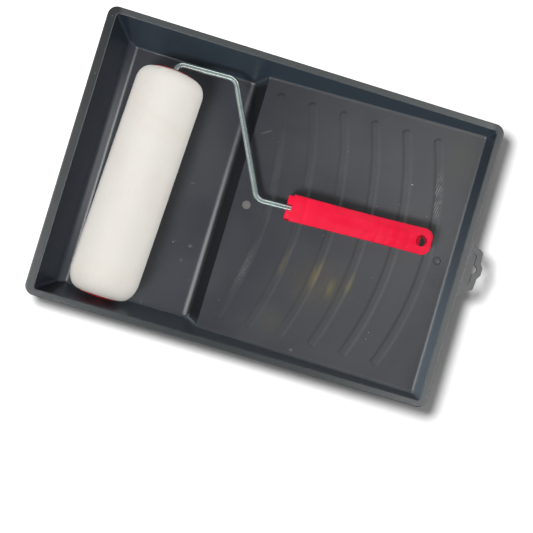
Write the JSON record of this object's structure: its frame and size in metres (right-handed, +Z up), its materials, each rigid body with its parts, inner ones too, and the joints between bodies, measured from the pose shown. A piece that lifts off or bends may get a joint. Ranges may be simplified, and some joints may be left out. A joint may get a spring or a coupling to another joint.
{
  "type": "paint roller tray",
  "caption": "Paint roller tray with a deep well, a ribbed sloping ramp and a slotted hanging tab, holding a foam cage roller on a bent wire frame with a hollow grip.",
  "frame": {"origin": "on the surface that the tray stands on, under the middle of the whole set's outline, hanging tab included", "axes": "+X from the deep well towards the hanging tab, along the tray's length; +Y across the tray, towards the side where the roller's bent arm is; +Z up"},
  "size_m": [0.4216, 0.29, 0.0723],
  "materials": {
    "tray_plastic": "satin moulded, scuffed",
    "red_plastic": "moulded, slight gloss",
    "frame_wire": "bright zinc plated",
    "fastener_steel": "plain",
    "natural_plastic": "plain moulded",
    "foam": "fine open-cell foam"
  },
  "bodies": {
    "tray": {"tray": "tray_plastic"},
    "frame": {"wire_frame": "frame_wire", "handle": "red_plastic", "inboard_washer": "fastener_steel", "outboard_washer": "fastener_steel", "push_nut": "fastener_steel"},
    "roller": {"inboard_cap": "red_plastic", "outboard_cap": "red_plastic", "cage_rod_1": "fastener_steel", "cage_rod_2": "fastener_steel", "cage_rod_3": "fastener_steel", "cage_rod_4": "fastener_steel", "cage_rod_5": "fastener_steel", "cage_spreader": "natural_plastic", "sleeve_core": "natural_plastic", "foam_cover": "foam"}
  },
  "joints": [
    {"name": "lift_out", "type": "slide", "parent": "tray", "child": "frame", "axis": [0, 0, 1], "range_m": [0, 0.08]},
    {"name": "roller_spin", "type": "hinge", "parent": "frame", "child": "roller", "pos_m": [-0.1406, -0.0126, 0.0373], "axis": [0.038, 0.9993, 0], "continuous": true}
  ]
}
